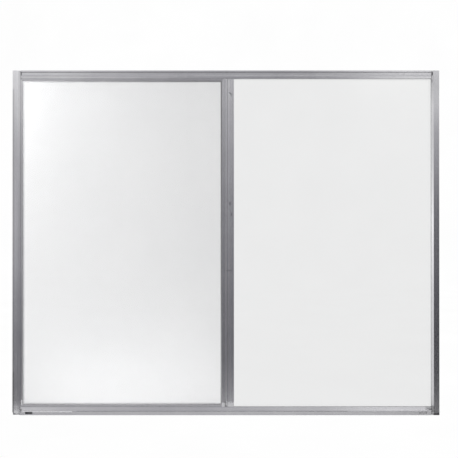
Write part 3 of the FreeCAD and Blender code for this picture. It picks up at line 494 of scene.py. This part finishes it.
# Insect mesh: single straight wires, the upright ones behind the level ones, each off the
# middle by a share of its radius. They end under the spline, short of the solid sheet's edge
MESH_PITCH = 0.00141
MESH_WIRE = 0.00028
WIRE_OFFSET = 0.7
MESH_INSET = 0.0029


def wire_places(low, high):
    count = int((high - low) / MESH_PITCH)
    margin = (high - low - count * MESH_PITCH) / 2
    return [low + margin + i * MESH_PITCH for i in range(count + 1)]


def wire_grid(low, high):
    vertices, faces = [], []
    radius = MESH_WIRE / 2
    out = Vector((0, radius, 0))
    middle = (low.y + high.y) / 2

    def add_wire(start, run, across):
        first = len(vertices)
        for point in (start, start + run):
            for side in (across, out, -across, -out):
                vertices.append(point + side)
        for i in range(4):
            following = (i + 1) % 4
            faces.append((first + i, first + following, first + 4 + following, first + 4 + i))

    for x in wire_places(low.x, high.x):
        start = Vector((x, middle + radius * WIRE_OFFSET, low.z))
        add_wire(start, Vector((0, 0, high.z - low.z)), Vector((radius, 0, 0)))
    for z in wire_places(low.z, high.z):
        start = Vector((low.x, middle - radius * WIRE_OFFSET, z))
        add_wire(start, Vector((high.x - low.x, 0, 0)), Vector((0, 0, radius)))
    return vertices, faces


mesh_low, mesh_high = (Vector(corner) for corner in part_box("insect_mesh"))
mesh_low += Vector((MESH_INSET, 0, MESH_INSET))
mesh_high -= Vector((MESH_INSET, 0, MESH_INSET))
woven = mesh_object("woven_mesh", *wire_grid(mesh_low, mesh_high), wires, smooth=True)
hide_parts("insect_mesh")
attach(woven, "root")


# Beads in the seams between jambs and head or sill, as (left, bottom), (right, top): painted
# shade in the gaps, grey at the head's left end and dark at the sill, and painted light, pale at
# the head's right end
HEAD_LEFT_SEAM = [((-0.57645, 0.9435), (-0.57495, 0.9635))]
HEAD_RIGHT_SEAM = [((0.57495, 0.9435), (0.57645, 0.9635))]
SILL_SEAMS = [
    ((-0.57645, 0.0115), (-0.57565, 0.0180)),
    ((0.57565, 0.0020), (0.57645, 0.0150)),
]
SEAM_BEAD_FRONT = -0.0238
SEAM_BEAD_DEPTH = 0.0015
SEAM_BEAD_HOLLOW = 0.0004
SEAM_BEAD_SAG = 0.0003
SEAM_BEAD_SIDES = 6
SEAM_BEAD_RINGS = 9


def seam_beads(seams):
    """Slender beads with a hollow front, uneven along their length."""
    vertices, faces = [], []
    for (left, bottom), (right, top) in seams:
        first = len(vertices)
        for ring in range(SEAM_BEAD_RINGS):
            z = bottom + (top - bottom) * ring / (SEAM_BEAD_RINGS - 1)
            sag = SEAM_BEAD_SAG * random.random()
            for i in range(SEAM_BEAD_SIDES + 1):
                share = i / SEAM_BEAD_SIDES
                hollow = SEAM_BEAD_HOLLOW * math.sin(math.pi * share)
                dip = hollow + sag * share * (1 - share) * 4  # the whole sag at the middle
                vertices.append((left + (right - left) * share, SEAM_BEAD_FRONT + dip, z))
            vertices.append((right, SEAM_BEAD_FRONT + SEAM_BEAD_DEPTH, z))
            vertices.append((left, SEAM_BEAD_FRONT + SEAM_BEAD_DEPTH, z))
        count = SEAM_BEAD_SIDES + 3  # the points of the front and two at the back
        last = first + (SEAM_BEAD_RINGS - 1) * count
        for low in range(first, last, count):
            high = low + count
            for i in range(count):
                following = (i + 1) % count
                faces.append((low + i, low + following, high + following, high + i))
        faces.append(tuple(first + i for i in reversed(range(count))))
        faces.append(tuple(last + i for i in range(count)))
    return vertices, faces


for bead_name, seams, bead_material in (
    ("head_left_painted_seam_shade", HEAD_LEFT_SEAM, seam_shade_grey),
    ("head_right_painted_seam_light", HEAD_RIGHT_SEAM, seam_light_pale),
    ("sill_painted_seam_shade", SILL_SEAMS, seam_shade_dark),
):
    bead = mesh_object(bead_name, *seam_beads(seams), bead_material)
    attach(bead, "root")


# Dried silt that fills the right weep slot up to a gap under its upper edge. Its top drops
# and its front slumps and is gritty by up to these lengths
SILT_LOW = Vector((0.5414, -0.0242, 0.0033))
SILT_HIGH = Vector((0.5616, -0.0205, 0.0084))
SILT_COLUMNS = 24
SILT_ROWS = 8
SILT_DROP = 0.0007
SILT_SLUMP = 0.0012
SILT_GRIT = 0.0003


def silt_lump():
    """Block with an uneven front that leans back and an uneven top."""
    vertices, faces = [], []
    low, high = SILT_LOW, SILT_HIGH
    for row in range(SILT_ROWS + 1):
        for column in range(SILT_COLUMNS + 1):
            share, rise = column / SILT_COLUMNS, row / SILT_ROWS
            top = high.z - SILT_DROP * random.random() * rise
            x = low.x + (high.x - low.x) * share
            z = low.z + (top - low.z) * rise
            slump = SILT_SLUMP * rise ** 2 + SILT_GRIT * random.random()
            vertices.append((x, low.y + slump, z))
    back = len(vertices)
    for x, z in ((low.x, low.z), (high.x, low.z), (high.x, high.z), (low.x, high.z)):
        vertices.append((x, high.y, z))
    width = SILT_COLUMNS + 1
    for row in range(SILT_ROWS):
        for column in range(SILT_COLUMNS):
            first = row * width + column
            faces.append((first, first + 1, first + 1 + width, first + width))
    bottom = range(width)
    top = range(SILT_ROWS * width, back)
    left = range(0, back, width)
    right = range(SILT_COLUMNS, back, width)
    faces.append((*reversed(bottom), back, back + 1))
    faces.append((*top, back + 2, back + 3))
    faces.append((*left, back + 3, back))
    faces.append((*reversed(right), back + 1, back + 2))
    faces.append((back + 1, back, back + 3, back + 2))
    return vertices, faces


weep_silt = mesh_object("weep_silt", *silt_lump(), silt)
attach(weep_silt, "root")


def make_room():
    """White room that only the camera and the glass see; the light comes from the world."""
    profile = [(0.0, ROOM_BASE), (ROOM_FLOOR / 2, ROOM_BASE), (ROOM_FLOOR, ROOM_BASE)]
    for i in range(1, ROOM_RINGS + 1):
        angle = math.radians(90 * i / ROOM_RINGS)
        profile.append((
            ROOM_FLOOR * math.cos(angle) + ROOM_BULGE * math.sin(2 * angle),
            ROOM_HEIGHT * math.sin(angle) ** 2,
        ))
    vertices, faces = [], []
    for radius, z in profile:
        for i in range(ROOM_SIDES):
            angle = 2 * math.pi * i / ROOM_SIDES
            vertices.append((radius * math.cos(angle), radius * math.sin(angle), z))
    for ring in range(len(profile) - 1):
        first = ring * ROOM_SIDES
        above = first + ROOM_SIDES
        for i in range(ROOM_SIDES):
            following = (i + 1) % ROOM_SIDES
            faces.append((first + i, first + following, above + following, above + i))
    material, shader = new_material("room_paper")
    nodes = Nodes(material.node_tree)
    grain = nodes.noise(nodes.coordinates(), PAPER_SCALE)
    shader.inputs["Base Color"].default_value = (0.0, 0.0, 0.0, 1.0)
    shader.inputs["Specular IOR Level"].default_value = 0.0
    shader.inputs["Emission Color"].default_value = (1.0, 1.0, 1.0, 1.0)
    nodes.link(nodes.ramp(grain, *PAPER_BRIGHTNESS), shader.inputs["Emission Strength"])
    room = mesh_object("studio_room", vertices, faces, material, smooth=True)
    room.visible_diffuse = False
    room.visible_glossy = False
    room.visible_shadow = False


make_room()


# The horizon right of the camera, from the floor's far edge up, as in LIGHT_COLUMNS
DARK_HORIZON = [
    (-0.24, 0.05), (-0.205, 0.015), (-0.165, 0.02), (-0.106, 0.055), (-0.05, 0.10),
    (0.02, 0.13), (0.06, 0.20), (0.085, 0.42),
]

# Light round the window, as (x of the direction, [(z of the direction, brightness), ...]):
# a pale floor, a dim horizon that is darkest right of the camera, a brighter upper room
LIGHT_COLUMNS = [
    (-1.00, [(-1, 0.45), (-0.4, 0.5), (-0.26, 0.80), (-0.19, 0.9), (0, 1.0), (0.2, 0.8),
             (0.5, 0.55), (1, 0.72)]),
    (-0.64, [(-1, 0.45), (-0.4, 0.5), (-0.26, 0.80), (-0.22, 0.84), (-0.1, 0.95), (-0.05, 0.96),
             (-0.01, 1.5), (0.01, 1.5), (0.045, 0.95), (0.17, 0.78), (0.4, 0.55),
             (0.7, 0.6), (1, 0.72)]),
    (-0.28, [(-1, 0.80), (-0.3, 0.90), (-0.25, 1.1), (-0.23, 0.12), (-0.18, 0.06), (-0.136, 0.13),
             (-0.077, 0.28), (-0.018, 0.44), (0.04, 0.48), (0.099, 0.53), (0.158, 0.82),
             (0.172, 1.2), (0.188, 1.6), (0.25, 0.95), (0.32, 0.58), (0.7, 0.62), (1, 0.72)]),
    (-0.12, [(-1, 0.50), (-0.3, 0.90), (-0.25, 1.1), (-0.23, 0.25), (-0.18, 0.18), (-0.136, 0.2),
             (-0.077, 0.28), (-0.018, 0.36), (0.04, 0.38), (0.099, 0.42), (0.158, 0.48),
             (0.188, 0.51), (0.25, 0.5), (0.32, 0.48), (0.7, 0.62), (1, 0.72)]),
    (0.00, [(-1, 0.30), (-0.9, 0.30), (-0.3, 0.90), (-0.25, 1.05), (-0.23, 0.4), (-0.2, 0.24),
            (-0.17, 0.225), (-0.13, 0.225), (-0.07, 0.265), (0, 0.27), (0.03, 0.275), (0.06, 0.33),
            (0.12, 0.42), (0.165, 0.36), (0.2, 0.27), (0.32, 0.60), (0.7, 0.62), (1, 0.72)]),
    (0.13, [(-1, 0.30), (-0.9, 0.30), (-0.3, 1.0), (-0.25, 1.25), (-0.23, 0.33), (-0.2, 0.12),
            (-0.13, 0.10), (0, 0.14), (0.06, 0.22), (0.085, 0.32), (0.13, 0.32), (0.165, 0.3),
            (0.2, 0.27), (0.24, 0.4), (0.32, 0.82), (0.7, 0.62), (1, 0.72)]),
    (0.20, [(-1, 0.8), (-0.3, 1.1), (-0.26, 1.4), *DARK_HORIZON, (0.13, 0.56), (0.16, 0.82),
            (0.19, 1.68), (0.24, 1.9), (0.32, 0.52), (0.7, 0.62), (1, 0.72)]),
    (0.25, [(-1, 0.8), (-0.3, 1.0), (-0.26, 1.3), *DARK_HORIZON, (0.13, 0.60), (0.16, 0.76),
            (0.19, 1.18), (0.24, 1.5), (0.32, 0.50), (0.7, 0.62), (1, 0.72)]),
    (0.44, [(-1, 0.8), (-0.3, 0.9), (-0.26, 1.1), *DARK_HORIZON, (0.13, 0.56), (0.16, 0.75),
            (0.19, 1.0), (0.24, 1.5), (0.32, 0.50), (0.7, 0.62), (1, 0.72)]),
    (0.66, [(-1, 0.45), (-0.4, 0.48), (-0.26, 0.7), (-0.222, 0.30), (-0.136, 0.23), (-0.018, 0.45),
            (0.099, 0.55), (0.188, 0.80), (0.4, 0.5), (0.7, 0.55), (1, 0.72)]),
    (1.00, [(-1, 0.5), (-0.26, 0.55), (-0.19, 0.55), (0, 0.6), (0.2, 0.6), (0.5, 0.5), (1, 0.72)]),
]

# The dimmer the light, the bluer
LIGHT_TINTS = [
    (0.10, (0.905, 0.895, 1.0)),
    (0.20, (0.925, 0.915, 1.0)),
    (0.50, (0.970, 0.962, 1.0)),
    (0.80, (1.0, 0.995, 1.0)),
]


def make_world():
    """The light columns, blended from each to the next across the view."""
    world = bpy.data.worlds.new("studio")
    bpy.context.scene.world = world
    world.use_nodes = True
    tree = world.node_tree
    tree.nodes.clear()
    nodes = Nodes(tree)
    output = tree.nodes.new("ShaderNodeOutputWorld")
    background = tree.nodes.new("ShaderNodeBackground")
    coordinate = tree.nodes.new("ShaderNodeTexCoord")
    split = tree.nodes.new("ShaderNodeSeparateXYZ")
    nodes.link(coordinate.outputs["Generated"], split.inputs["Vector"])
    across, height = split.outputs["X"], split.outputs["Z"]
    previous, stops = LIGHT_COLUMNS[0]
    seen = nodes.curve(height, -1.0, 1.0, stops)
    for place, stops in LIGHT_COLUMNS[1:]:
        column = nodes.curve(height, -1.0, 1.0, stops)
        share = nodes.ramp(across, 0.0, 1.0, previous, place)
        kept = nodes.math("MULTIPLY", seen, nodes.math("SUBTRACT", 1.0, share))
        seen = nodes.math("ADD", kept, nodes.math("MULTIPLY", column, share))
        previous = place
    nodes.link(nodes.colours(seen, LIGHT_TINTS), background.inputs["Color"])
    nodes.link(seen, background.inputs["Strength"])
    nodes.link(background.outputs["Background"], output.inputs["Surface"])


make_world()


def make_camera():
    data = bpy.data.cameras.new("camera")
    data.sensor_width = SENSOR_MM
    data.lens = SENSOR_MM * PIXELS_PER_METRE * CAMERA_DISTANCE / IMAGE_PIXELS
    data.shift_y = -math.tan(CAMERA_PITCH) * data.lens / SENSOR_MM
    camera = bpy.data.objects.new("camera", data)
    front = cad_box[0][1]
    camera.location = (CAMERA_X, front - CAMERA_DISTANCE, CAMERA_Z)
    camera.rotation_euler = (math.radians(90) + CAMERA_PITCH, 0, 0)
    bpy.context.scene.collection.objects.link(camera)
    bpy.context.scene.camera = camera


make_camera()


def make_soft_box(name, place, target, width, height, power):
    """Light for the matt pieces, close enough to fall off across the insect mesh."""
    data = bpy.data.lights.new(name, "AREA")
    data.shape = "RECTANGLE"
    data.size = width
    data.size_y = height
    data.energy = power
    light = bpy.data.objects.new(name, data)
    light.location = place
    light.rotation_euler = (Vector(target) - Vector(place)).to_track_quat("-Z", "Y").to_euler()
    light.visible_glossy = False
    light.visible_transmission = False
    light.visible_camera = False
    bpy.context.scene.collection.objects.link(light)


make_soft_box("upper_left_box", (-0.80, -0.36, 0.98), (-0.50, 0.0, 0.85),
              width=0.3, height=0.3, power=7.0)
make_soft_box("left_box", (-0.95, -0.45, 0.42), (-0.55, 0.0, 0.45),
              width=0.15, height=0.8, power=6.0)
make_soft_box("low_box", (-0.27, -0.25, 0.06), (-0.26, 0.0, 0.09),
              width=0.5, height=0.08, power=1.45)

view = bpy.context.scene.view_settings
view.view_transform = "Standard"
view.look = "None"
view.exposure = 0.0
view.gamma = 1.0
